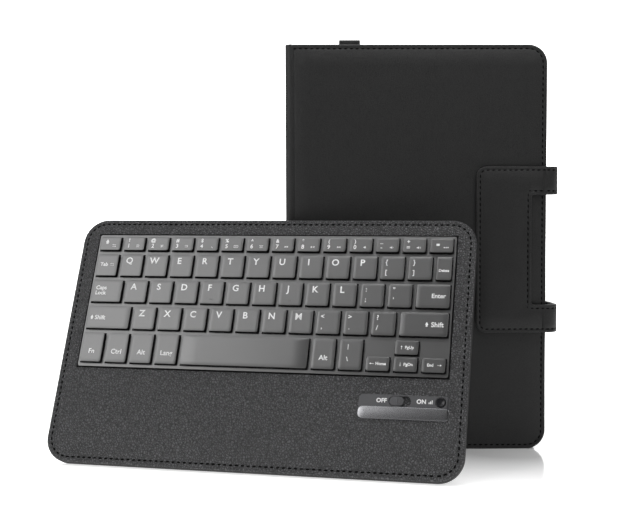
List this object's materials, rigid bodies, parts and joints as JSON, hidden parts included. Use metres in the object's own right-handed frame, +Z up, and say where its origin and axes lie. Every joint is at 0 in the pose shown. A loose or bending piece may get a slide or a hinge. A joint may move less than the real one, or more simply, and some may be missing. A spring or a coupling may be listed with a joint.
{
  "type": "tablet keyboard case",
  "caption": "Leather folio for a small tablet, standing closed, with its magnetic keyboard panel out and leaning on the spine; folding spine, wrap-round closure flap, pressing keys.",
  "frame": {"origin": "middle of the front cover's lower edge, which the closed folio stands on", "axes": "+Z up, -Y out of the front cover towards the user, +X from the spine to the free edge"},
  "size_m": [0.2803, 0.1149, 0.232],
  "materials": {
    "smooth_leather": "satin",
    "grained_leather": "satin",
    "lining_cloth": "matte",
    "grey_board": "matte",
    "plated_steel": "satin",
    "nickel_magnet": "polished",
    "pocket_plastic": "matte",
    "elastic": "matte",
    "deck_plastic": "satin",
    "key_plastic": "satin",
    "housing_plastic": "matte",
    "membrane_film": "satin",
    "dome_rubber": "matte",
    "circuit_laminate": "gloss",
    "battery_foil": "satin",
    "gloss_black": "gloss",
    "bright_metal": "polished"
  },
  "bodies": {
    "front_cover": {"front_cover_skin": "smooth_leather", "front_cover_board": "grey_board", "front_cover_lining": "lining_cloth", "catch_plate": "plated_steel", "dock_plates": "plated_steel"},
    "spine": {"spine_skin": "smooth_leather", "spine_board": "grey_board", "spine_lining": "lining_cloth"},
    "back_cover": {"back_cover_skin": "smooth_leather", "back_cover_board": "grey_board", "back_cover_lining": "lining_cloth", "tablet_pocket": "pocket_plastic", "tablet_bezel": "smooth_leather", "pocket_tongue": "smooth_leather", "pen_loop": "elastic", "flap_anchor": "smooth_leather"},
    "flap_arms": {"upper_arm": "smooth_leather", "lower_arm": "smooth_leather"},
    "flap_tab": {"flap_tab_leather": "smooth_leather", "flap_tab_board": "grey_board", "flap_magnets": "nickel_magnet"},
    "keyboard": {"panel_front_skin": "grained_leather", "panel_back_skin": "grained_leather", "upper_housing": "deck_plastic", "lower_housing": "housing_plastic", "support_plate": "plated_steel", "membrane": "membrane_film", "key_domes": "dome_rubber", "circuit_board": "circuit_laminate", "battery": "battery_foil", "control_plate": "gloss_black", "trim_bar": "bright_metal", "switch_body": "plated_steel", "charge_socket": "plated_steel", "panel_magnets": "nickel_magnet", "housing_screws": "plated_steel"},
    "power_slider": {"power_slider": "gloss_black"},
    "connect_button": {"connect_button": "gloss_black"},
    "number_keys": {"number_keys": "key_plastic"},
    "tab_key": {"tab_key": "key_plastic"},
    "upper_letter_keys": {"upper_letter_keys": "key_plastic"},
    "delete_key": {"delete_key": "key_plastic"},
    "caps_key": {"caps_key": "key_plastic"},
    "middle_letter_keys": {"middle_letter_keys": "key_plastic"},
    "enter_key": {"enter_key": "key_plastic"},
    "left_shift_key": {"left_shift_key": "key_plastic"},
    "lower_letter_keys": {"lower_letter_keys": "key_plastic"},
    "right_shift_key": {"right_shift_key": "key_plastic"},
    "fn_key": {"fn_key": "key_plastic"},
    "ctrl_key": {"ctrl_key": "key_plastic"},
    "left_alt_key": {"left_alt_key": "key_plastic"},
    "language_key": {"language_key": "key_plastic"},
    "space_bar": {"space_bar": "key_plastic"},
    "right_alt_key": {"right_alt_key": "key_plastic"},
    "backslash_key": {"backslash_key": "key_plastic"},
    "left_arrow_key": {"left_arrow_key": "key_plastic"},
    "up_arrow_key": {"up_arrow_key": "key_plastic"},
    "down_arrow_key": {"down_arrow_key": "key_plastic"},
    "right_arrow_key": {"right_arrow_key": "key_plastic"}
  },
  "joints": [
    {"name": "spine_fold", "type": "hinge", "parent": "front_cover", "child": "spine", "pos_m": [-0.0716, 0, 0], "axis": [0, 0, 1], "range_deg": [0, 70], "deforming": ["upper_arm", "lower_arm", "flap_tab_leather", "flap_tab_board", "flap_magnets"]},
    {"name": "back_fold", "type": "hinge", "parent": "spine", "child": "back_cover", "pos_m": [-0.0716, 0.0212, 0], "axis": [0, 0, 1], "range_deg": [0, 110], "deforming": ["upper_arm", "lower_arm", "flap_tab_leather", "flap_tab_board", "flap_magnets"]},
    {"name": "arm_fold", "type": "hinge", "parent": "back_cover", "child": "flap_arms", "pos_m": [0.0722, 0.0235, 0], "axis": [0, 0, 1], "range_deg": [0, 90]},
    {"name": "tab_fold", "type": "hinge", "parent": "flap_arms", "child": "flap_tab", "pos_m": [0.0722, -0.0026, 0], "axis": [0, 0, 1], "range_deg": [0, 90]},
    {"name": "keyboard_pull", "type": "slide", "parent": "front_cover", "child": "keyboard", "axis": [0, -1, 0], "range_m": [0, 0.12]},
    {"name": "switch_slide", "type": "slide", "parent": "keyboard", "child": "power_slider", "axis": [0.9659, -0.2588, 0], "range_m": [0, 0.0034]},
    {"name": "button_press", "type": "slide", "parent": "keyboard", "child": "connect_button", "axis": [0.2346, 0.8754, -0.4226], "range_m": [0, 0.0005], "stiffness_N_per_m": 400},
    {"name": "number_press", "type": "slide", "parent": "keyboard", "child": "number_keys", "axis": [0.2346, 0.8754, -0.4226], "range_m": [0, 0.0011], "stiffness_N_per_m": 250},
    {"name": "tab_press", "type": "slide", "parent": "keyboard", "child": "tab_key", "axis": [0.2346, 0.8754, -0.4226], "range_m": [0, 0.0011], "stiffness_N_per_m": 250},
    {"name": "upper_letter_press", "type": "slide", "parent": "keyboard", "child": "upper_letter_keys", "axis": [0.2346, 0.8754, -0.4226], "range_m": [0, 0.0011], "stiffness_N_per_m": 250},
    {"name": "delete_press", "type": "slide", "parent": "keyboard", "child": "delete_key", "axis": [0.2346, 0.8754, -0.4226], "range_m": [0, 0.0011], "stiffness_N_per_m": 250},
    {"name": "caps_press", "type": "slide", "parent": "keyboard", "child": "caps_key", "axis": [0.2346, 0.8754, -0.4226], "range_m": [0, 0.0011], "stiffness_N_per_m": 250},
    {"name": "middle_letter_press", "type": "slide", "parent": "keyboard", "child": "middle_letter_keys", "axis": [0.2346, 0.8754, -0.4226], "range_m": [0, 0.0011], "stiffness_N_per_m": 250},
    {"name": "enter_press", "type": "slide", "parent": "keyboard", "child": "enter_key", "axis": [0.2346, 0.8754, -0.4226], "range_m": [0, 0.0011], "stiffness_N_per_m": 250},
    {"name": "left_shift_press", "type": "slide", "parent": "keyboard", "child": "left_shift_key", "axis": [0.2346, 0.8754, -0.4226], "range_m": [0, 0.0011], "stiffness_N_per_m": 250},
    {"name": "lower_letter_press", "type": "slide", "parent": "keyboard", "child": "lower_letter_keys", "axis": [0.2346, 0.8754, -0.4226], "range_m": [0, 0.0011], "stiffness_N_per_m": 250},
    {"name": "right_shift_press", "type": "slide", "parent": "keyboard", "child": "right_shift_key", "axis": [0.2346, 0.8754, -0.4226], "range_m": [0, 0.0011], "stiffness_N_per_m": 250},
    {"name": "fn_press", "type": "slide", "parent": "keyboard", "child": "fn_key", "axis": [0.2346, 0.8754, -0.4226], "range_m": [0, 0.0011], "stiffness_N_per_m": 250},
    {"name": "ctrl_press", "type": "slide", "parent": "keyboard", "child": "ctrl_key", "axis": [0.2346, 0.8754, -0.4226], "range_m": [0, 0.0011], "stiffness_N_per_m": 250},
    {"name": "left_alt_press", "type": "slide", "parent": "keyboard", "child": "left_alt_key", "axis": [0.2346, 0.8754, -0.4226], "range_m": [0, 0.0011], "stiffness_N_per_m": 250},
    {"name": "language_press", "type": "slide", "parent": "keyboard", "child": "language_key", "axis": [0.2346, 0.8754, -0.4226], "range_m": [0, 0.0011], "stiffness_N_per_m": 250},
    {"name": "space_bar_press", "type": "slide", "parent": "keyboard", "child": "space_bar", "axis": [0.2346, 0.8754, -0.4226], "range_m": [0, 0.0011], "stiffness_N_per_m": 250},
    {"name": "right_alt_press", "type": "slide", "parent": "keyboard", "child": "right_alt_key", "axis": [0.2346, 0.8754, -0.4226], "range_m": [0, 0.0011], "stiffness_N_per_m": 250},
    {"name": "backslash_press", "type": "slide", "parent": "keyboard", "child": "backslash_key", "axis": [0.2346, 0.8754, -0.4226], "range_m": [0, 0.0011], "stiffness_N_per_m": 250},
    {"name": "left_arrow_press", "type": "slide", "parent": "keyboard", "child": "left_arrow_key", "axis": [0.2346, 0.8754, -0.4226], "range_m": [0, 0.0011], "stiffness_N_per_m": 250},
    {"name": "up_arrow_press", "type": "slide", "parent": "keyboard", "child": "up_arrow_key", "axis": [0.2346, 0.8754, -0.4226], "range_m": [0, 0.0011], "stiffness_N_per_m": 250},
    {"name": "down_arrow_press", "type": "slide", "parent": "keyboard", "child": "down_arrow_key", "axis": [0.2346, 0.8754, -0.4226], "range_m": [0, 0.0011], "stiffness_N_per_m": 250},
    {"name": "right_arrow_press", "type": "slide", "parent": "keyboard", "child": "right_arrow_key", "axis": [0.2346, 0.8754, -0.4226], "range_m": [0, 0.0011], "stiffness_N_per_m": 250}
  ]
}
